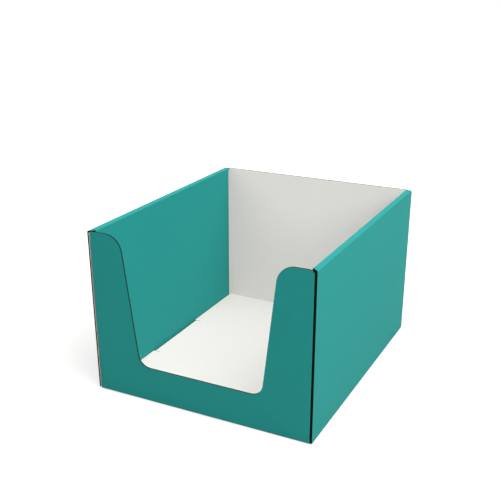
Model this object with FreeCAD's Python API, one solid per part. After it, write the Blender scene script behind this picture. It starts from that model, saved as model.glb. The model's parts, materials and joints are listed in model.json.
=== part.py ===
"""Counter display tray, folded from one die-cut sheet of E-flute board.

The sheet is a base with four walls. The front wall has a wide scooped opening between two
rounded ears, and the back wall is plain. Each of these two has a flap at both ends, and the
flap tucks into the side wall. Each side wall is double: it rises from the base, rolls over
a narrow top strip with slanted ends, and comes down again inside, over the two flaps, where
a tab at its foot locks into a slot in the base.

Millimetres, +Z up. The origin is the centre of the underside of the base, the front is
at -Y, and the printed face of the sheet is the outside.
"""
import FreeCAD, Part
import math
import os

from FreeCAD import Vector

# Board
BOARD = 1.6                 # E-flute, from liner face to liner face
FOLD_INSIDE = 0.4           # radius on the inner side of a pressed fold

# Overall size of the folded tray
WIDTH = 250.0
DEPTH = 294.0
HEIGHT = 180.0

# Front opening, measured to the corners of its outline before they are rounded
SILL_HEIGHT = 39.4
SILL_WIDTH = 141.0
OPENING_LEAN = 6.7          # degrees that the sides of the opening lean outwards
SILL_RADIUS = 14.0
EAR_RADIUS = 19.0

# Corner flaps of the front and back walls
FLAP_LENGTH = 90.0
FLAP_TAPER = 10.0           # how much lower and higher the free end starts than the root
FLAP_CORNER_RADIUS = 6.0
FLAP_LIFT = 2.8             # clear height between the base and the lower edge
FLAP_DROP = 0.5             # clear height under the top strip
CORNER_CLEARANCE = 0.7      # between a flap and the outer layer of the side wall
FLAP_PLAY = 1.5             # between a flap and the inner layer, at the top
FOOT_PLAY = 0.5             # between a flap and the inner layer, at its foot

# Top strip and inner layer of the side walls
STRIP_SETBACK = 2.8         # from the ends of the outer layer to the top strip's slanted ends
END_CLEARANCE = 3.6         # from the ends of the inner layer to the front and back walls
FOOT_CLEARANCE = 0.3        # from its raw lower edge to the base

# Locking tabs and their slots in the base
TAB_LENGTH = 96.0
TAB_CORNER_RADIUS = 1.0
TAB_RECESS = 0.2            # the tab stops short of the underside of the base
SLOT_END_PLAY = 0.5         # at each end of the tab
SLOT_INNER_PLAY = 2.3       # in front of the tab, so that it can be pushed in
SLOT_OUTER_PLAY = 0.3       # behind the tab
SLIT_LENGTH = 6.0           # cut inwards from both ends of the slot
SLIT_WIDTH = 0.5

# Sizes that follow from the ones above
FOLD_OUTSIDE = FOLD_INSIDE + BOARD
HALF_WIDTH = WIDTH / 2
HALF_DEPTH = DEPTH / 2
FLAP_FACE = HALF_WIDTH - BOARD - CORNER_CLEARANCE
FLAP_BOTTOM = BOARD + FLAP_LIFT
FLAP_TOP = HEIGHT - BOARD - FLAP_DROP
TOP_STRIP = 3 * BOARD + CORNER_CLEARANCE + FLAP_PLAY
FOOT = BOARD + FOOT_CLEARANCE
INNER_LEAN = math.atan2(FLAP_PLAY - FOOT_PLAY, HEIGHT - FOOT)
MARGIN = 5.0                # how far a cutting shape reaches past what it cuts

NODE = "display_tray"


def in_xz(u, v):
    """Point of a profile drawn as seen from the front."""
    return Vector(u, 0, v)


def in_yz(u, v):
    """Point of a profile drawn as seen from the right side."""
    return Vector(0, u, v)


def in_xy(u, v):
    """Point of a profile drawn as seen from above."""
    return Vector(u, v, 0)


def polar(angle, radius=1.0):
    """Vector of the drawing plane at an angle, in radians, from its first axis."""
    return Vector(radius * math.cos(angle), radius * math.sin(angle), 0)


def solid_between(edges, place, low, high):
    """Extrude closed flat edges square to their plane, from one level to another."""
    face = Part.Face(Part.Wire(edges))
    normal = {in_xz: Vector(0, 1, 0), in_yz: Vector(1, 0, 0), in_xy: Vector(0, 0, 1)}[place]
    face.translate(normal * low)
    return face.extrude(normal * (high - low))


def folded_strip(start, heading, steps, place, low, high):
    """Board that follows a walk along its printed face, with the board on the left.

    A number in steps is a straight run, and a pair ("fold", angle) is a fold to the left.
    """
    printed = []
    plain = []
    point = Vector(start[0], start[1], 0)
    angle = heading
    for step in steps:
        left = polar(angle + math.pi / 2)
        if isinstance(step, tuple):
            centre = point + left * FOLD_OUTSIDE
            turn = step[1]
            spokes = [angle - math.pi / 2 + turn * share for share in (0, 0.5, 1)]
            outer = [centre + polar(spoke, FOLD_OUTSIDE) for spoke in spokes]
            inner = [centre + polar(spoke, FOLD_INSIDE) for spoke in spokes]
            angle += turn
        else:
            outer = [point, point + polar(angle, step)]
            inner = [corner + left * BOARD for corner in outer]
        printed.append(outer)
        plain.append(inner)
        point = outer[-1]
    ends = [[printed[-1][-1], plain[-1][-1]], [plain[0][0], printed[0][0]]]
    pieces = printed + [ends[0]] + [piece[::-1] for piece in plain[::-1]] + [ends[1]]
    return solid_between([edge_through(piece, place) for piece in pieces], place, low, high)


def edge_through(points, place):
    """Line through two points of a drawing, or arc through three."""
    placed = [place(point.x, point.y) for point in points]
    if len(placed) == 3:
        return Part.Arc(*placed).toShape()
    return Part.LineSegment(*placed).toShape()


def panel(corners, place, low, high):
    """Flat piece from the corners of its outline, each given with its rounding radius."""
    count = len(corners)
    points = [Vector(corner[0], corner[1], 0) for corner in corners]
    arcs = []
    for index, corner in enumerate(corners):
        point = points[index]
        before = (points[index - 1] - point).normalize()
        after = (points[(index + 1) % count] - point).normalize()
        radius = corner[2]
        half_angle = before.getAngle(after) / 2
        reach = radius / math.tan(half_angle)
        middle = (before + after).normalize() * (radius / math.sin(half_angle) - radius)
        arcs.append([point + before * reach, point + middle, point + after * reach])
    edges = []
    for index, arc in enumerate(arcs):
        if corners[index][2] > 0:
            edges.append(edge_through(arc, place))
        following = arcs[(index + 1) % count]
        edges.append(edge_through([arc[2], following[0]], place))
    return solid_between(edges, place, low, high)


def mirrored(shape, normal):
    """Copy of a shape on the other side of the middle of the tray."""
    return shape.mirror(Vector(0, 0, 0), normal)


def base_with_front_and_back():
    """Base, with the folds and the lowest part of the front and back walls."""
    flat = DEPTH - 2 * FOLD_OUTSIDE
    rise = FLAP_BOTTOM - FOLD_OUTSIDE
    quarter = ("fold", math.pi / 2)
    steps = [rise, quarter, flat, quarter, rise]
    start = (-HALF_DEPTH, FLAP_BOTTOM)
    return folded_strip(start, -math.pi / 2, steps, in_yz, -FLAP_FACE, FLAP_FACE)


def front_wall():
    """Front wall above the corner notches, with its scooped opening and two ears."""
    end = FLAP_FACE - FOLD_OUTSIDE
    sill_end = SILL_WIDTH / 2
    ear_start = sill_end + (HEIGHT - SILL_HEIGHT) * math.tan(math.radians(OPENING_LEAN))
    corners = [
        (-end, FLAP_BOTTOM, 0),
        (end, FLAP_BOTTOM, 0),
        (end, HEIGHT, 0),
        (ear_start, HEIGHT, EAR_RADIUS),
        (sill_end, SILL_HEIGHT, SILL_RADIUS),
        (-sill_end, SILL_HEIGHT, SILL_RADIUS),
        (-ear_start, HEIGHT, EAR_RADIUS),
        (-end, HEIGHT, 0),
    ]
    return panel(corners, in_xz, -HALF_DEPTH, BOARD - HALF_DEPTH)


def back_wall():
    """Plain back wall above the corner notches."""
    end = FLAP_FACE - FOLD_OUTSIDE
    corners = [(-end, FLAP_BOTTOM, 0), (end, FLAP_BOTTOM, 0), (end, HEIGHT, 0), (-end, HEIGHT, 0)]
    return panel(corners, in_xz, HALF_DEPTH - BOARD, HALF_DEPTH)


def front_right_flap():
    """Corner fold at the right end of the front wall, with its flap."""
    root = FOLD_OUTSIDE - HALF_DEPTH
    start = (FLAP_FACE - FOLD_OUTSIDE, -HALF_DEPTH)
    steps = [("fold", math.pi / 2), FLAP_LENGTH]
    strip = folded_strip(start, 0, steps, in_xy, FLAP_BOTTOM, FLAP_TOP)
    outline = [
        (-HALF_DEPTH, FLAP_BOTTOM, 0),
        (root, FLAP_BOTTOM, 0),
        (root + FLAP_LENGTH, FLAP_BOTTOM + FLAP_TAPER, FLAP_CORNER_RADIUS),
        (root + FLAP_LENGTH, FLAP_TOP - FLAP_TAPER, FLAP_CORNER_RADIUS),
        (root, FLAP_TOP, 0),
        (-HALF_DEPTH, FLAP_TOP, 0),
    ]
    return strip.common(panel(outline, in_yz, 0, HALF_WIDTH))


def outer_layer():
    """Half the base, the right side wall's outer layer and the folds below and above it."""
    flat = HALF_WIDTH - FOLD_OUTSIDE
    rise = HEIGHT - 2 * FOLD_OUTSIDE
    quarter = ("fold", math.pi / 2)
    steps = [flat, quarter, rise, quarter]
    return folded_strip((0, 0), 0, steps, in_xz, -HALF_DEPTH, HALF_DEPTH)


def roll_over(lower_edge, half_length):
    """Right top strip, the fold inside it and the inner layer, down to a level."""
    top = TOP_STRIP - 2 * FOLD_OUTSIDE
    drop = (HEIGHT - FOLD_OUTSIDE - lower_edge) / math.cos(INNER_LEAN)
    start = (HALF_WIDTH - FOLD_OUTSIDE, HEIGHT)
    steps = [top, ("fold", math.pi / 2 + INNER_LEAN), drop]
    return folded_strip(start, math.pi, steps, in_xz, -half_length, half_length)


def base_notch():
    """What is cut from the front end of the fold between the base and the side wall."""
    corners = [
        (-MARGIN, -MARGIN, 0),
        (HALF_WIDTH + MARGIN, -MARGIN, 0),
        (HALF_WIDTH + MARGIN, FOLD_OUTSIDE, 0),
        (-MARGIN, FOLD_OUTSIDE, 0),
    ]
    return panel(corners, in_xz, -HALF_DEPTH - MARGIN, FOLD_OUTSIDE - HALF_DEPTH)


def slanted_trim():
    """What is cut from the front end of the top strip and of the folds on both sides of it."""
    inside = HALF_WIDTH - TOP_STRIP
    front = -HALF_DEPTH - MARGIN
    outer_end = STRIP_SETBACK - HALF_DEPTH
    inner_end = BOARD + END_CLEARANCE - HALF_DEPTH
    corners = [
        (inside - MARGIN, front, 0),
        (HALF_WIDTH + MARGIN, front, 0),
        (HALF_WIDTH + MARGIN, outer_end, 0),
        (HALF_WIDTH, outer_end, 0),
        (inside + BOARD, inner_end, 0),
        (inside - MARGIN, inner_end, 0),
    ]
    return panel(corners, in_xy, HEIGHT - FOLD_OUTSIDE, HEIGHT + MARGIN)


def straight_trim():
    """What is cut from the front end of the inner layer."""
    inside = HALF_WIDTH - TOP_STRIP - MARGIN
    inner_end = BOARD + END_CLEARANCE - HALF_DEPTH
    front = -HALF_DEPTH - MARGIN
    corners = [
        (inside, front, 0),
        (HALF_WIDTH, front, 0),
        (HALF_WIDTH, inner_end, 0),
        (inside, inner_end, 0),
    ]
    return panel(corners, in_xy, 0, HEIGHT - FOLD_OUTSIDE)


def right_side():
    """Right side wall in its two layers, trimmed at the ends, without its tab."""
    along = Vector(0, 1, 0)
    outer_trims = [base_notch(), slanted_trim()]
    inner_trims = [slanted_trim(), straight_trim()]
    outer = outer_layer().cut(outer_trims + [mirrored(trim, along) for trim in outer_trims])
    inner = roll_over(FOOT, HALF_DEPTH)
    inner = inner.cut(inner_trims + [mirrored(trim, along) for trim in inner_trims])
    return outer.fuse(inner)


def locking_tab():
    """Right inner layer at its middle third, where it reaches down into the slot."""
    half_tab = TAB_LENGTH / 2
    corners = [
        (-half_tab, TAB_RECESS, TAB_CORNER_RADIUS),
        (half_tab, TAB_RECESS, TAB_CORNER_RADIUS),
        (half_tab, HEIGHT - FOLD_OUTSIDE, 0),
        (-half_tab, HEIGHT - FOLD_OUTSIDE, 0),
    ]
    return roll_over(0, half_tab).common(panel(corners, in_yz, 0, HALF_WIDTH))


def right_slot():
    """Slot in the base for the right tab, with the slits at its two ends."""
    tab_face = HALF_WIDTH - TOP_STRIP + FLAP_PLAY - FOOT_PLAY
    near = tab_face - SLOT_INNER_PLAY
    far = tab_face + BOARD + SLOT_OUTER_PLAY
    half_slot = TAB_LENGTH / 2 + SLOT_END_PLAY
    slit_end = near - SLIT_LENGTH
    inside_slit = half_slot - SLIT_WIDTH
    corners = [
        (far, -half_slot, 0),
        (far, half_slot, 0),
        (slit_end, half_slot, 0),
        (slit_end, inside_slit, 0),
        (near, inside_slit, 0),
        (near, -inside_slit, 0),
        (slit_end, -inside_slit, 0),
        (slit_end, -half_slot, 0),
    ]
    return panel(corners, in_xy, 0, BOARD)


def display_tray():
    """The whole folded sheet, as one solid."""
    across = Vector(1, 0, 0)
    along = Vector(0, 1, 0)
    flaps = [front_right_flap()]
    flaps += [mirrored(flap, across) for flap in flaps]
    flaps += [mirrored(flap, along) for flap in flaps]
    side = right_side()
    walls = [front_wall(), back_wall(), side, mirrored(side, across)]
    sheet = base_with_front_and_back().fuse(walls + flaps)
    slot = right_slot()
    tab = locking_tab()
    sheet = sheet.cut([slot, mirrored(slot, across)])
    return sheet.fuse([tab, mirrored(tab, across)]).removeSplitter()


os.makedirs("parts", exist_ok=True)
display_tray().exportStep(os.path.join("parts", NODE + ".step"))
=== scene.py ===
"""Dresses the folded cardboard display tray: printed face, white liner, fluted raw edges, stage.

It is laid out as an add-on: the sizes and colours are properties, and each piece is an operator.
"""

import json
import math

import bmesh
import bpy
from bpy.props import FloatProperty, FloatVectorProperty, PointerProperty
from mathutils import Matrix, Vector

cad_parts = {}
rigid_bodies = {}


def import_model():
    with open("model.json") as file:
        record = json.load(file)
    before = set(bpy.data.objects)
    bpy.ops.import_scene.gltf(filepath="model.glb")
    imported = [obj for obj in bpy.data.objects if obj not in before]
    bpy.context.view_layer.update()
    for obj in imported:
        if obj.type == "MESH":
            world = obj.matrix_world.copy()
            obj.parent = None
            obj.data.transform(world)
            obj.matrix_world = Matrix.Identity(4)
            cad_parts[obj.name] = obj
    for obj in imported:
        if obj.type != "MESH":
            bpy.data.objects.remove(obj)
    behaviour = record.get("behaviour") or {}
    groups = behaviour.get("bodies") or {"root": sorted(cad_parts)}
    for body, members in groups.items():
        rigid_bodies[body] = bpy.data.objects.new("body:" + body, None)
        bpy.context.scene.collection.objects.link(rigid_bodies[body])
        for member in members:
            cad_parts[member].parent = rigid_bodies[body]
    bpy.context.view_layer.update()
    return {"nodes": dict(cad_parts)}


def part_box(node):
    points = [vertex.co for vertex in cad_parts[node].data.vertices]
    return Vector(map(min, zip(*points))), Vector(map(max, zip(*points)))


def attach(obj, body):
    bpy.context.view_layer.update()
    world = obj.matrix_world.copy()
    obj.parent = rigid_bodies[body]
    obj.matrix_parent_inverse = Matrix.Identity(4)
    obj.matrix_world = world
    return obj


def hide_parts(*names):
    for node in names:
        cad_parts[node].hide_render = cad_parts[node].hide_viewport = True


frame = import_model()

bl_info = {
    "name": "Cardboard display tray",
    "version": (1, 0, 0),
    "blender": (4, 5, 0),
    "location": "3D View > Sidebar > Display Tray",
    "description": "A counter display tray folded from one sheet of corrugated board",
    "category": "Object",
}

MM = 0.001
NODE = "display_tray"
BODY = "root"

# The material slots of the folded board, in order. The cut and medium slots carry near-black
# colours that are partly painted shade.
PRINTED, LINER, CUT, MEDIUM_AND_PAINTED_SHADE = 0, 1, 2, 3

RUBBED = "#5cb5ae"  # the print where it is worn thin
BOUNCE = (0.2, 0.2, 0.2, 1)  # what the print throws on its neighbours

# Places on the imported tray, in millimetres out from its middle or up from its foot.
SIDE = 125.0  # outside of the side walls
OUTER_LAYER, OUTER_END = 124.2, 147.0  # middle and raw ends of their outer layers
INNER_LAYER, INNER_END = 119.3, 141.8  # middle, halfway up, and raw ends of their inner layers
STRIP, STRIP_LEVEL = 121.5, 179.2  # middle of the strips along their tops
SLANT_START = 119.6  # where the front ends of those strips leave the inner layers
WALL = 146.2  # middle of the front and back walls
WALL_INSIDE = 145.4  # inside of the back wall
HALFWAY_UP = 90.5  # middle height of the side walls
FOLD_START = 178.0  # where the folds along the top begin to turn
FOLD_TURN = 2.0  # outside radius of the folds
UPRIGHT_FOLD = (120.7, 145.0)  # centres of the folds
OUTER_TOP_FOLD = (123.0, FOLD_START)
INNER_TOP_FOLD = (120.0, FOLD_START)

MERGE = 0.002 * MM  # corners nearer than this are one
OVERRUN = 0.5 * MM  # how much longer a sheet of fluted paper is than the channel it fills
PAST = 0.2  # how far it sticks out in millimetres, before it is cut flush

# The studio's square lamps: name, place and width in metres, and power in watts.
LAMPS = (
    ("key_lamp", (1.05, -0.25, 1.45), 1.5, 17.0),
    ("left_lamp", (-1.0, -0.4, 1.3), 1.3, 9.9),
    ("right_front_lamp", (1.2, -0.9, 1.2), 1.3, 9.2),
    ("right_back_lamp", (1.5, 0.6, 1.1), 1.3, 5.0),
    ("over_front_lamp", (0.3, -0.45, 1.1), 0.8, 3.0),
    ("over_back_lamp", (0.3, 0.4, 1.1), 0.8, 3.8),
    ("back_fill_lamp", (-0.9, 1.3, 0.45), 1.2, 4.0),
)
LAMP_TARGET = (0, 0, 0.09)

# The photograph's viewpoint, solved from the tray's own straight edges.
CAMERA_PLACE = (0.3651, -0.7570, 0.4356)
CAMERA_TILT, CAMERA_TURN = 67.50, 26.53  # degrees
CAMERA_SENSOR, CAMERA_LENS = 36, 57.54  # millimetres
CAMERA_SHIFT = (-0.00406, 0.0740)


def linear(code):
    """An sRGB hex colour as the linear RGB that a socket takes."""
    channels = [int(code[i : i + 2], 16) / 255 for i in (1, 3, 5)]
    return tuple(c / 12.92 if c <= 0.04045 else ((c + 0.055) / 1.055) ** 2.4 for c in channels)


def shade(colour, factor):
    """A linear colour made darker or lighter, with the alpha that a socket takes."""
    return tuple(min(1.0, factor * c) for c in colour) + (1,)


def mm_property(name, description, default):
    """A length, given in millimetres and kept in metres."""
    return FloatProperty(
        name=name, description=description, default=default * MM, unit="LENGTH", precision=5
    )


def colour_property(name, description, code):
    """A colour that a user can change."""
    return FloatVectorProperty(
        name=name, description=description, default=linear(code), subtype="COLOR",
        size=3, min=0, max=1,
    )


class TraySizes(bpy.types.PropertyGroup):
    """Sizes of the board's own make-up, which the folded shape doesn't settle."""

    board: mm_property("Board", "Thickness of the board", 1.6)
    liner: mm_property("Liner", "Thickness of each flat liner", 0.22)
    medium: mm_property("Medium", "Thickness of the fluted paper", 0.2)
    pitch: mm_property("Flute pitch", "From one flute to the next", 3.3)
    edge_depth: mm_property("Edge depth", "How far a cut edge shows its open flutes", 4.0)
    fibre: mm_property("Fibre", "Length of the paper's fibre clumps", 0.5)
    mottle: mm_property("Mottle", "Size of the print's faint cloudiness", 9.0)


class TrayColours(bpy.types.PropertyGroup):
    """Colours of the board's surfaces and of the stage."""

    printed: colour_property("Print", "The printed outer face", "#238f8a")
    white: colour_property("White liner", "The unprinted inner face", "#f5f3ef")
    # The cut rims and the medium are near black: partly the board's own brown, partly painted shade
    # of the open flutes and the corner gaps.
    cut: colour_property("Cut edge", "The liners' cut rims", "#1f1812")
    medium: colour_property("Medium", "The fluted paper inside the board", "#211912")
    floor: colour_property("Floor", "The plain pale floor", "#c4c4c2")


def node(tree, kind, links=(), **settings):
    """Adds one node, sets its properties and sockets, and links its inputs."""
    made = tree.nodes.new(kind)
    for name, value in settings.items():
        if name.startswith("in_"):
            key = name[3:]
            made.inputs[int(key) if key.isdigit() else key].default_value = value
        else:
            setattr(made, name, value)
    for socket, source in links:
        tree.links.new(source, made.inputs[socket])
    return made


def new_material(name):
    """A material with a Principled shader; returns the material, its tree and the shader."""
    material = bpy.data.materials.new(name)
    material.use_nodes = True
    tree = material.node_tree
    tree.nodes.clear()
    shader = node(tree, "ShaderNodeBsdfPrincipled")
    node(tree, "ShaderNodeOutputMaterial", [("Surface", shader.outputs[0])])
    return material, tree, shader


def paper_grain(tree, sizes, washboard, fibre_depth):
    """The bump of a board's face: flute lines that show through the liner, and paper fibre.

    Blender's wave repeats every pi / (10 x scale), which makes two faint lines to a flute here.
    """
    sheet = node(tree, "ShaderNodeUVMap", uv_map="sheet")
    wave = node(
        tree, "ShaderNodeTexWave", [("Vector", sheet.outputs[0])], wave_type="BANDS",
        bands_direction="X", wave_profile="SIN", in_Scale=2 * math.pi * MM / (10 * sizes.pitch),
    )
    place = node(tree, "ShaderNodeTexCoord")
    fibre = node(
        tree, "ShaderNodeTexNoise", [("Vector", place.outputs["Object"])],
        in_Scale=1 / sizes.fibre, in_Detail=3.0, in_Roughness=0.6,
    )
    lines = node(
        tree, "ShaderNodeBump", [("Height", wave.outputs["Fac"])],
        in_Strength=1.0, in_Distance=washboard,
    )
    return node(
        tree, "ShaderNodeBump", [("Height", fibre.outputs["Fac"]), ("Normal", lines.outputs[0])],
        in_Strength=1.0, in_Distance=fibre_depth,
    )


def printed_material(sizes, colours):
    """Offset print on coated white-top liner, with a matt varnish.

    It has a flat even colour and a soft sheen at grazing angles, and is rubbed thin on the folds.
    """
    material, tree, shader = new_material("matt_printed_liner")
    bump = paper_grain(tree, sizes, washboard=0.004 * MM, fibre_depth=0.008 * MM)
    place = node(tree, "ShaderNodeTexCoord")
    cloud = node(
        tree, "ShaderNodeTexNoise", [("Vector", place.outputs["Object"])],
        in_Scale=1 / sizes.mottle, in_Detail=2.0, in_Roughness=0.5,
    )
    tone = node(
        tree, "ShaderNodeMapRange", [("Value", cloud.outputs["Fac"])],
        in_1=0.3, in_2=0.7, in_3=0.0, in_4=1.0,
    )
    ink = node(
        tree, "ShaderNodeMix", [(0, tone.outputs[0])], data_type="RGBA",
        in_6=shade(colours.printed, 0.985), in_7=shade(colours.printed, 1.015),
    )
    rubbed = rubbed_folds(tree, place)
    worn = node(
        tree, "ShaderNodeMix", [(0, rubbed.outputs[0]), (6, ink.outputs[2])],
        data_type="RGBA", in_7=shade(linear(RUBBED), 1),
    )
    tree.links.new(softened_bleed(tree, worn).outputs[2], shader.inputs["Base Color"])
    gloss = node(
        tree, "ShaderNodeMapRange", [("Value", cloud.outputs["Fac"])],
        in_1=0.3, in_2=0.7, in_3=0.64, in_4=0.7,
    )
    tree.links.new(gloss.outputs[0], shader.inputs["Roughness"])
    shader.inputs["IOR"].default_value = 1.5
    shader.inputs["Specular IOR Level"].default_value = 0.1
    tree.links.new(bump.outputs[0], shader.inputs["Normal"])
    return material


def softened_bleed(tree, ink):
    """Greys the light that the print throws on the white liner, clean as the photograph has it."""
    rays = node(tree, "ShaderNodeLightPath")
    share = node(
        tree, "ShaderNodeMath", [(0, rays.outputs["Is Diffuse Ray"])], operation="MULTIPLY",
        in_1=0.8,
    )
    return node(
        tree, "ShaderNodeMix", [(0, share.outputs[0]), (6, ink.outputs[2])], data_type="RGBA",
        in_7=BOUNCE,
    )


def rubbed_folds(tree, place):
    """How far the print is rubbed: only on a fold, where the face turns, and in specks."""
    face = node(tree, "ShaderNodeNewGeometry")
    parts = node(tree, "ShaderNodeSeparateXYZ", [(0, face.outputs["Normal"])])
    size = [
        node(tree, "ShaderNodeMath", [(0, parts.outputs[i])], operation="ABSOLUTE")
        for i in range(3)
    ]
    most = size[0]
    for other in size[1:]:
        most = node(
            tree, "ShaderNodeMath", [(0, most.outputs[0]), (1, other.outputs[0])],
            operation="MAXIMUM",
        )
    turned = node(
        tree, "ShaderNodeMapRange", [("Value", most.outputs[0])],
        in_1=0.98, in_2=0.75, in_3=0.0, in_4=1.0,
    )
    specks = node(
        tree, "ShaderNodeTexNoise", [("Vector", place.outputs["Object"])],
        in_Scale=1 / (0.9 * MM), in_Detail=4.0, in_Roughness=0.7,
    )
    few = node(
        tree, "ShaderNodeMapRange", [("Value", specks.outputs["Fac"])],
        in_1=0.5, in_2=0.68, in_3=0.03, in_4=0.3,
    )
    return node(
        tree, "ShaderNodeMath", [(0, turned.outputs[0]), (1, few.outputs[0])],
        operation="MULTIPLY",
    )


def liner_material(sizes, colours):
    """Uncoated bleached kraft liner: dead matt, slightly warm, with faint fibre and flute lines."""
    material, tree, shader = new_material("bleached_kraft_liner")
    bump = paper_grain(tree, sizes, washboard=0.006 * MM, fibre_depth=0.014 * MM)
    place = node(tree, "ShaderNodeTexCoord")
    fibre = node(
        tree, "ShaderNodeTexNoise", [("Vector", place.outputs["Object"])],
        in_Scale=1 / (1.3 * MM), in_Detail=4.0, in_Roughness=0.65,
    )
    tone = node(
        tree, "ShaderNodeMapRange", [("Value", fibre.outputs["Fac"])],
        in_1=0.3, in_2=0.7, in_3=0.0, in_4=1.0,
    )
    paper = node(
        tree, "ShaderNodeMix", [(0, tone.outputs[0])], data_type="RGBA",
        in_6=shade(colours.white, 0.975), in_7=shade(colours.white, 1.01),
    )
    tree.links.new(paper.outputs[2], shader.inputs["Base Color"])
    shader.inputs["Roughness"].default_value = 0.85
    shader.inputs["IOR"].default_value = 1.45
    shader.inputs["Specular IOR Level"].default_value = 0.25
    tree.links.new(bump.outputs[0], shader.inputs["Normal"])
    return material


def kraft_material(name, colour, grain):
    """Brown recycled paper, cut or fluted: rough and fibrous, with no sheen. The colours it is
    given here are the board's brown darkened near black with painted shade.
    """
    material, tree, shader = new_material(name)
    place = node(tree, "ShaderNodeTexCoord")
    fibre = node(
        tree, "ShaderNodeTexNoise", [("Vector", place.outputs["Object"])],
        in_Scale=1 / grain, in_Detail=4.0, in_Roughness=0.7,
    )
    paper = node(
        tree, "ShaderNodeMix", [(0, fibre.outputs["Fac"])], data_type="RGBA",
        in_6=shade(colour, 0.72), in_7=shade(colour, 1.25),
    )
    tree.links.new(paper.outputs[2], shader.inputs["Base Color"])
    bump = node(
        tree, "ShaderNodeBump", [("Height", fibre.outputs["Fac"])],
        in_Strength=1.0, in_Distance=0.03 * MM,
    )
    tree.links.new(bump.outputs[0], shader.inputs["Normal"])
    shader.inputs["Roughness"].default_value = 0.95
    shader.inputs["Specular IOR Level"].default_value = 0.15
    return material


def white_rays(tree):
    """1 for the rays that see the stage as plain white: the camera's, mirrored and let through."""
    rays = node(tree, "ShaderNodeLightPath")
    seen = node(
        tree, "ShaderNodeMath",
        [(0, rays.outputs["Is Camera Ray"]), (1, rays.outputs["Is Glossy Ray"])],
        operation="MAXIMUM",
    )
    return node(
        tree, "ShaderNodeMath",
        [(0, seen.outputs[0]), (1, rays.outputs["Is Transmission Ray"])], operation="MAXIMUM",
    )


def deselect_all():
    """Leaves nothing selected, because operators act on all that is."""
    bpy.ops.object.select_all(action="DESELECT")


def copy_of_tray(name):
    """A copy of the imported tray's mesh with its loose triangles merged into clean flat faces."""
    mesh = frame["nodes"][NODE].data.copy()
    mesh.name = name
    mesh.materials.clear()
    piece = bpy.data.objects.new(name, mesh)
    bpy.context.scene.collection.objects.link(piece)
    deselect_all()
    piece.select_set(True)
    bpy.context.view_layer.objects.active = piece
    bpy.ops.object.mode_set(mode="EDIT")
    bpy.ops.mesh.select_all(action="SELECT")
    bpy.ops.mesh.remove_doubles(threshold=MERGE)
    bpy.ops.mesh.dissolve_limited(angle_limit=math.radians(0.1))
    bpy.ops.mesh.select_all(action="DESELECT")
    bpy.ops.object.mode_set(mode="OBJECT")
    return piece


def shape_strip_ends(piece):
    """Runs the top strips square up to the back wall, and slants them from the corner in front.

    There the strip's raw end starts at the side's own raw edge, as the photograph shows.
    """
    foot = (FOLD_START + 0.15) * MM
    slant = (OUTER_END - INNER_END) / (SIDE - SLANT_START)
    for side in (-1, 1):
        select_faces(
            piece,
            lambda c, n, m, a: n.y > 0.98 and ends_inner_layer(c, side, 1) and a > 1e-4,
        )
        bpy.ops.mesh.bisect(plane_co=(0, 0, foot), plane_no=(0, 0, 1), threshold=0.001 * MM)
    bpy.ops.mesh.select_all(action="DESELECT")
    mesh = bmesh.from_edit_mesh(piece.data)
    for vertex in mesh.verts:
        x, y, z = (abs(value) for value in vertex.co)
        on_outer_fold = x > OUTER_TOP_FOLD[0] * MM and z > (FOLD_START - 0.05) * MM
        if not (z > foot + 0.01 * MM or on_outer_fold):
            continue
        if x < 117 * MM or not 141 * MM < y < 145 * MM:
            continue
        if vertex.co.y > 0:
            vertex.co.y = (WALL_INSIDE - 0.1) * MM
        else:
            vertex.co.y = -INNER_END * MM - max(0, x - SLANT_START * MM) * slant
    bmesh.update_edit_mesh(piece.data)
    bpy.ops.mesh.select_all(action="SELECT")
    bpy.ops.mesh.remove_doubles(threshold=MERGE)
    bpy.ops.mesh.select_all(action="DESELECT")


def ends_inner_layer(place, side, end):
    """Whether a place is on an inner layer's raw end; side and end are -1 or 1, along X and Y."""
    return 117 * MM < place.x * side < 121 * MM and 141 * MM < place.y * end < 143 * MM


def paint_corner_gap_shade(piece):
    """Paints the outside of the tucked flaps, and the faces behind it, with the near-black medium.

    That the print and the white coat stop at the folds is a guess. This is painted shade, not bare
    board: the faces there are really printed or white, and the paint makes the gap at a corner
    near black.
    """

    def gets_painted_shade(c, n, m, a):
        out = abs(c.x)
        flap = m == PRINTED and abs(n.x) > 0.75 and 121.9 * MM < out < 122.9 * MM
        behind = m == LINER and n.x * c.x > 0.9 * out and 119.3 * MM < out < 120.9 * MM
        return flap or behind

    # Painted shade: these faces get the near-black medium in place of the shade in the corner gaps.
    select_faces(piece, gets_painted_shade)
    assign(piece, MEDIUM_AND_PAINTED_SHADE)


def select_faces(piece, test):
    """Selects the faces that pass the test, in edit mode.

    The test is given a face's centre, normal, material slot and area.
    """
    bpy.ops.mesh.select_mode(type="FACE")
    bpy.ops.mesh.select_all(action="DESELECT")
    mesh = bmesh.from_edit_mesh(piece.data)
    found = False
    for face in mesh.faces:
        if test(face.calc_center_median(), face.normal, face.material_index, face.calc_area()):
            face.select = True
            found = True
    mesh.select_flush_mode()
    bmesh.update_edit_mesh(piece.data)
    if not found:
        raise RuntimeError(f"no face of {piece.name} is where the script looks for it")


def assign(piece, index):
    """Gives the selected faces that material slot."""
    piece.active_material_index = index
    bpy.ops.object.material_slot_assign()


def paint_sides(piece):
    """Gives the sheet its printed side, its white side and its cut edges.

    Each side is one run of faces round every fold, and a cut edge stands square to both.
    """
    select_faces(piece, lambda c, n, m, a: True)
    assign(piece, CUT)
    select_faces(piece, lambda c, n, m, a: n.z < -0.99 and c.z < 0.1 * MM and a > 1e-3)
    bpy.ops.mesh.faces_select_linked_flat(sharpness=math.radians(50))
    assign(piece, PRINTED)
    select_faces(piece, lambda c, n, m, a: n.z > 0.99 and 1 * MM < c.z < 2 * MM and a > 1e-3)
    bpy.ops.mesh.faces_select_linked_flat(sharpness=math.radians(50))
    assign(piece, LINER)


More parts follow.
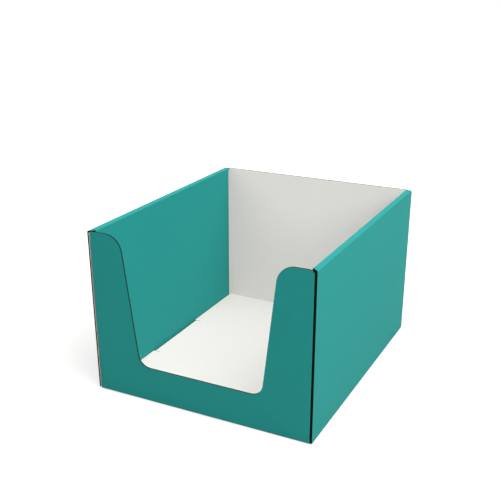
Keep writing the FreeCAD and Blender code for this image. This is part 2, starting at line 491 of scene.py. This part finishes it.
def open_edge(piece, sizes, test, inwards=None):
    """Opens a cut edge between its liners, as a channel as deep as the flutes are seen.

    The channel runs inwards along the flutes, or square to the edge where no direction is given.
    """
    select_faces(piece, lambda c, n, m, a: m == CUT and test(c, n))
    bpy.ops.mesh.inset(thickness=sizes.liner, depth=0, use_even_offset=False)
    if inwards:
        bpy.ops.mesh.extrude_region_move(
            TRANSFORM_OT_translate={"value": sizes.edge_depth * Vector(inwards)}
        )
    else:
        bpy.ops.mesh.extrude_region_shrink_fatten(
            TRANSFORM_OT_shrink_fatten={"value": -sizes.edge_depth}
        )
    bpy.ops.mesh.select_more()
    assign(piece, MEDIUM_AND_PAINTED_SHADE)


def sharpen_folds(piece):
    """Draws the walls' upright folds and the folds along the top tight, with a squarer outside.

    A folded score is crushed inside, so its liner is stretched square over it.
    """
    turn = FOLD_TURN * MM
    mesh = bmesh.from_edit_mesh(piece.data)
    for vertex in mesh.verts:
        x, y, z = vertex.co
        # Of each fold: its centre, the corner's place along it, which way it bulges in X, how
        # far the outside reaches that way, and a power: 1 keeps it round and 0 makes it square.
        for middle, rise, outwards, reach, tight in (
            (UPRIGHT_FOLD, abs(y), 1, 1.6 * MM, 0.3),
            (OUTER_TOP_FOLD, z, 1, turn, 0.35),
            (INNER_TOP_FOLD, z, -1, turn, 0.45),
        ):
            upright = middle is UPRIGHT_FOLD
            across = (abs(x) - middle[0] * MM) * outwards / turn
            along = (rise - middle[1] * MM) / turn
            if abs(math.hypot(across, along) - 1) > 0.01 or min(across, along) < -1e-4:
                continue
            if upright and z < 4 * MM:
                continue
            across, along = max(across, 0) ** tight, max(along, 0) ** tight
            vertex.co.x = math.copysign(middle[0] * MM + outwards * reach * across, x)
            if upright:
                vertex.co.y = math.copysign(middle[1] * MM + turn * along, y)
            else:
                vertex.co.z = middle[1] * MM + turn * along
            break
    bmesh.update_edit_mesh(piece.data)


def wave_sheet(name, sizes, length, run):
    """Fluted paper, flat on the ground: waves along X, flutes along Y, as thick as the core.

    Its crests bite a little way into the liners, so that no gap shows between them.
    """
    steps = 8
    bite = 0.03 * MM
    count = round(length / sizes.pitch)
    height = (sizes.board - 2 * sizes.liner - sizes.medium) / 2 + bite
    deselect_all()
    bpy.ops.mesh.primitive_grid_add(x_subdivisions=steps, y_subdivisions=1, size=1)
    piece = bpy.context.active_object
    piece.name = name
    bpy.ops.object.mode_set(mode="EDIT")
    bpy.ops.transform.resize(value=(sizes.pitch, run, 1))
    for step in range(steps + 1):
        bpy.ops.mesh.select_all(action="DESELECT")
        mesh = bmesh.from_edit_mesh(piece.data)
        column = (step / steps - 0.5) * sizes.pitch
        for vertex in mesh.verts:
            vertex.select = abs(vertex.co.x - column) < 0.01 * MM
        mesh.select_flush_mode()
        bmesh.update_edit_mesh(piece.data)
        bpy.ops.transform.translate(value=(0, 0, height * math.cos(math.tau * step / steps)))
    bpy.ops.object.mode_set(mode="OBJECT")
    repeat = piece.modifiers.new("repeat", "ARRAY")
    repeat.count = count
    repeat.use_merge_vertices = True
    repeat.merge_threshold = 0.01 * MM
    bpy.ops.object.modifier_apply(modifier=repeat.name)
    paper = piece.modifiers.new("paper", "SOLIDIFY")
    paper.thickness = sizes.medium
    paper.offset = 0
    bpy.ops.object.modifier_apply(modifier=paper.name)
    for vertex in piece.data.vertices:
        vertex.co.x -= (count - 1) * sizes.pitch / 2
    return piece


def put(piece, place, turn=(0, 0, 0)):
    """Moves a piece, in millimetres, and turns it, in degrees, and keeps both in its mesh."""
    deselect_all()
    piece.select_set(True)
    bpy.context.view_layer.objects.active = piece
    piece.location = [value * MM for value in place]
    piece.rotation_euler = [math.radians(value) for value in turn]
    bpy.ops.object.transform_apply(location=True, rotation=True, scale=True)


class TRAY_OT_board(bpy.types.Operator):
    """Dresses the folded board: printed face, white liner and open cut edges"""

    bl_idname = "display_tray.board"
    bl_label = "Folded board"

    def execute(self, context):
        sizes, colours = context.scene.tray_sizes, context.scene.tray_colours
        piece = copy_of_tray("folded_board")
        for material in (
            printed_material(sizes, colours),
            liner_material(sizes, colours),
            # Near-black cut rims and medium: the board's brown darkened with painted shade of the
            # open flutes.
            kraft_material("cut_liner_edge_and_painted_shade", colours.cut, 0.6 * MM),
            kraft_material("kraft_medium_and_painted_shade", colours.medium, 0.8 * MM),
        ):
            piece.data.materials.append(material)
        bpy.ops.object.mode_set(mode="EDIT")
        paint_sides(piece)
        sharpen_folds(piece)
        # Painted shade in the corner gaps, on the tucked flaps and the faces behind them.
        paint_corner_gap_shade(piece)
        shape_strip_ends(piece)
        self.open_edges(piece, sizes)
        bpy.ops.object.mode_set(mode="OBJECT")
        self.lay_out(piece)
        bpy.ops.object.shade_smooth_by_angle(angle=math.radians(35))
        weigh = piece.modifiers.new("weigh", "WEIGHTED_NORMAL")
        weigh.keep_sharp = True
        weigh.weight = 100
        bpy.ops.object.modifier_apply(modifier=weigh.name)
        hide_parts(NODE)
        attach(piece, BODY)
        return {"FINISHED"}

    def open_edges(self, piece, sizes):
        """The cut edges that cross the flutes: wall ends, strip ends, back wall and front wall."""
        above_notch = 10 * MM
        for side in (-1, 1):
            for end in (-1, 1):

                def outer_layer(c, n):
                    raw_end = n.y * end > 0.98 and c.y * end > 146 * MM
                    return raw_end and c.x * side > 122.9 * MM and c.z > above_notch

                def inner_layer(c, n):
                    raw_end = n.y * end > 0.98 and ends_inner_layer(c, side, end)
                    return raw_end and c.z > above_notch

                def strip(c, n):
                    slanted = 0.6 < n.y * end < 0.98
                    square = n.y * end > 0.6 and c.y * end > 145 * MM
                    above_layers = c.y * end > 141 * MM and c.z > (FOLD_START + 0.05) * MM
                    return (slanted or square) and c.x * side > 117 * MM and above_layers

                for test in (outer_layer, inner_layer, strip):
                    open_edge(piece, sizes, test, (0, -end, 0))

        def back_wall(c, n):
            top = n.z > 0.98 and c.z > 179.5 * MM
            return top and c.y > 145 * MM and abs(c.x) < 118 * MM

        def front_wall(c, n):
            rim = abs(c.y + WALL * MM) < 0.4 * MM
            return rim and abs(c.x) < 120.8 * MM and c.z > 30 * MM

        open_edge(piece, sizes, back_wall, (0, 0, -1))
        open_edge(piece, sizes, front_wall)

    def lay_out(self, piece):
        """A UV map in millimetres: U crosses the flutes and V runs along them."""
        mesh = piece.data
        layer = mesh.uv_layers.new(name="sheet")
        for face in mesh.polygons:
            size = [abs(value) for value in face.normal]
            across = 2 if size[0] == max(size) else 0
            along = 2 if size[1] == max(size) else 1
            for loop in face.loop_indices:
                place = mesh.vertices[mesh.loops[loop].vertex_index].co
                layer.data[loop].uv = (place[across] / MM, place[along] / MM)


class TRAY_OT_flutes(bpy.types.Operator):
    """Puts the fluted paper in the open cut edges, cut flush with the board"""

    bl_idname = "display_tray.flutes"
    bl_label = "Fluted medium"

    def execute(self, context):
        sizes = context.scene.tray_sizes
        sheets = self.wall_ends(sizes) + self.upright_walls(sizes)
        outline = copy_of_tray("board_outline")
        bpy.ops.object.mode_set(mode="EDIT")
        shape_strip_ends(outline)
        bpy.ops.object.mode_set(mode="OBJECT")
        for sheet in sheets:
            self.trim(sheet, outline)
        bpy.data.objects.remove(outline)
        deselect_all()
        for sheet in sheets:
            sheet.select_set(True)
        piece = sheets[0]
        context.view_layer.objects.active = piece
        bpy.ops.object.join()
        piece.name = "edge_flutes"
        piece.data.name = "edge_flutes"
        piece.data.materials.clear()
        # The near-black medium, darkened with painted shade of the open flutes.
        piece.data.materials.append(bpy.data.materials["kraft_medium_and_painted_shade"])
        bpy.ops.object.shade_smooth_by_angle(angle=math.radians(50))
        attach(piece, BODY)
        return {"FINISHED"}

    def trim(self, sheet, outline):
        """Cuts one sheet of fluted paper flush with the board."""
        deselect_all()
        sheet.select_set(True)
        bpy.context.view_layer.objects.active = sheet
        cut = sheet.modifiers.new("cut", "BOOLEAN")
        cut.operation = "INTERSECT"
        cut.solver = "EXACT"
        cut.object = outline
        bpy.ops.object.modifier_apply(modifier=cut.name)
        if not sheet.data.polygons:
            raise RuntimeError(f"nothing is left of {sheet.name}")

    def wall_ends(self, sizes):
        """The side walls' layers and the strips between them, whose flutes run front to back."""
        run = sizes.edge_depth + OVERRUN
        behind = run / 2 / MM
        outer_place = OUTER_END + PAST - behind
        inner_place = INNER_END + PAST - behind
        strip_run = 9.3
        strip_place = WALL_INSIDE - 0.1 - strip_run / 2
        lean = math.degrees(math.atan(1 / 176))  # the inner layers lean in, 1 mm over their height
        sheets = []
        for side in (-1, 1):
            for end in (-1, 1):
                outer = wave_sheet("outer_layer_flutes", sizes, 174 * MM, run)
                put(outer, (side * OUTER_LAYER, end * outer_place, HALFWAY_UP), (0, -90, 0))
                inner = wave_sheet("inner_layer_flutes", sizes, 171 * MM, run)
                turn = (0, -90 - side * lean, 0)
                put(inner, (side * INNER_LAYER, end * inner_place, HALFWAY_UP), turn)
                strip = wave_sheet("strip_flutes", sizes, 6.6 * MM, strip_run * MM)
                put(strip, (side * STRIP, end * strip_place, STRIP_LEVEL))
                sheets += [outer, inner, strip]
        return sheets

    def upright_walls(self, sizes):
        """The front and back walls, whose flutes stand upright.

        The front wall's sheet is as large as the wall above its sill, because the edge curves.
        """
        back = wave_sheet("back_wall_flutes", sizes, 238 * MM, sizes.edge_depth + OVERRUN)
        front = wave_sheet("front_wall_flutes", sizes, 241 * MM, 152 * MM)
        put(back, (0, WALL, 178.0), (90, 0, 0))
        put(front, (0, -WALL, 104.5), (90, 0, 0))
        return [back, front]


class TRAY_OT_stage(bpy.types.Operator):
    """Sets the plain pale floor, the soft studio light, the white surround and the camera"""

    bl_idname = "display_tray.stage"
    bl_label = "Stage"

    def execute(self, context):
        scene = context.scene
        self.floor(scene.tray_colours)
        self.surround(scene)
        for lamp in LAMPS:
            self.lamp(*lamp)
        self.camera(scene)
        scene.view_settings.view_transform = "Standard"
        return {"FINISHED"}

    def floor(self, colours):
        """A wide matt floor, white to the camera and in reflections, that keeps the shadow."""
        deselect_all()
        bpy.ops.mesh.primitive_plane_add(size=8, location=(0, 0, -0.02 * MM))
        piece = bpy.context.active_object
        piece.name = "studio_floor"
        material, tree, shader = new_material("matt_studio_paper")
        shader.inputs["Base Color"].default_value = shade(colours.floor, 1)
        shader.inputs["Roughness"].default_value = 1.0
        shader.inputs["Specular IOR Level"].default_value = 0.0
        place = node(tree, "ShaderNodeTexCoord")
        away = node(
            tree, "ShaderNodeVectorMath", [(0, place.outputs["Object"])], operation="LENGTH"
        )
        # The floor's own glow grows from 0.5, at 0.3 m from the middle, to 0.85, at 1.1 m.
        whiter = node(
            tree, "ShaderNodeMapRange", [("Value", away.outputs["Value"])],
            in_1=0.3, in_2=1.1, in_3=0.5, in_4=0.85,
        )
        whiter = self.shaded_under_tray(tree, place, whiter)
        lift = node(
            tree, "ShaderNodeMath",
            [(0, white_rays(tree).outputs[0]), (1, whiter.outputs[0])], operation="MULTIPLY",
        )
        glow = node(tree, "ShaderNodeEmission", [("Strength", lift.outputs[0])])
        both = node(
            tree, "ShaderNodeAddShader", [(0, shader.outputs[0]), (1, glow.outputs[0])]
        )
        out = [n for n in tree.nodes if n.type == "OUTPUT_MATERIAL"][0]
        tree.links.new(both.outputs[0], out.inputs["Surface"])
        piece.data.materials.append(material)
        bpy.ops.object.transform_apply(location=True, rotation=True, scale=True)

    def shaded_under_tray(self, tree, place, whiter):
        """Keeps the floor dark under the tray, where it is seen through the slots of the base."""
        parts = node(tree, "ShaderNodeSeparateXYZ", [(0, place.outputs["Object"])])
        _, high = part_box(NODE)
        beyond = []
        for axis in (0, 1):
            size = node(
                tree, "ShaderNodeMath", [(0, parts.outputs[axis])], operation="ABSOLUTE"
            )
            beyond.append(
                node(
                    tree, "ShaderNodeMapRange", [("Value", size.outputs[0])],
                    in_1=high[axis] - 3 * MM, in_2=high[axis] - 1 * MM, in_3=0.0, in_4=1.0,
                )
            )
        outside = node(
            tree, "ShaderNodeMath", [(0, beyond[0].outputs[0]), (1, beyond[1].outputs[0])],
            operation="MAXIMUM",
        )
        return node(
            tree, "ShaderNodeMath", [(0, whiter.outputs[0]), (1, outside.outputs[0])],
            operation="MULTIPLY",
        )

    def surround(self, scene):
        """Even light from all round; the camera and mirror reflections see plain white."""
        world = bpy.data.worlds.new("white_surround")
        scene.world = world
        world.use_nodes = True
        tree = world.node_tree
        tree.nodes.clear()
        light = node(tree, "ShaderNodeBackground", in_Strength=0.25)
        white = node(tree, "ShaderNodeBackground", in_Strength=1.0)
        for background in (light, white):
            background.inputs["Color"].default_value = (1, 1, 1, 1)
        both = node(
            tree, "ShaderNodeMixShader",
            [(0, white_rays(tree).outputs[0]), (1, light.outputs[0]), (2, white.outputs[0])],
        )
        node(tree, "ShaderNodeOutputWorld", [("Surface", both.outputs[0])])

    def lamp(self, name, place, size, power):
        """A soft square lamp that faces the middle of the tray."""
        deselect_all()
        aim = Vector(LAMP_TARGET) - Vector(place)
        bpy.ops.object.light_add(
            type="AREA", location=place, rotation=aim.to_track_quat("-Z", "Y").to_euler()
        )
        lamp = bpy.context.active_object
        lamp.name = name
        lamp.data.name = name
        lamp.data.size = size
        lamp.data.energy = power

    def camera(self, scene):
        """Looks at the tray from where the photograph was taken."""
        deselect_all()
        bpy.ops.object.camera_add(
            location=CAMERA_PLACE,
            rotation=(math.radians(CAMERA_TILT), 0, math.radians(CAMERA_TURN)),
        )
        camera = bpy.context.active_object
        camera.name = "photo_camera"
        camera.data.sensor_width = CAMERA_SENSOR
        camera.data.lens = CAMERA_LENS
        camera.data.shift_x, camera.data.shift_y = CAMERA_SHIFT
        camera.data.clip_start = 0.01
        scene.camera = camera


class TRAY_PT_panel(bpy.types.Panel):
    """Lists the tray's pieces, sizes and colours"""

    bl_idname = "TRAY_PT_panel"
    bl_label = "Display Tray"
    bl_space_type = "VIEW_3D"
    bl_region_type = "UI"
    bl_category = "Display Tray"

    def draw(self, context):
        for kind in OPERATORS:
            self.layout.operator(kind.bl_idname)
        for group in (context.scene.tray_sizes, context.scene.tray_colours):
            for name in group.__annotations__:
                self.layout.prop(group, name)


OPERATORS = (TRAY_OT_board, TRAY_OT_flutes, TRAY_OT_stage)
CLASSES = (TraySizes, TrayColours) + OPERATORS + (TRAY_PT_panel,)


def register():
    """Adds the classes and the scene's two groups of properties."""
    for kind in CLASSES:
        bpy.utils.register_class(kind)
    bpy.types.Scene.tray_sizes = PointerProperty(type=TraySizes)
    bpy.types.Scene.tray_colours = PointerProperty(type=TrayColours)


def unregister():
    """Takes away what register added."""
    del bpy.types.Scene.tray_colours
    del bpy.types.Scene.tray_sizes
    for kind in reversed(CLASSES):
        bpy.utils.unregister_class(kind)


def main():
    """Builds every piece in order."""
    register()
    bpy.ops.display_tray.board()
    bpy.ops.display_tray.flutes()
    bpy.ops.display_tray.stage()


if __name__ == "__main__":
    main()
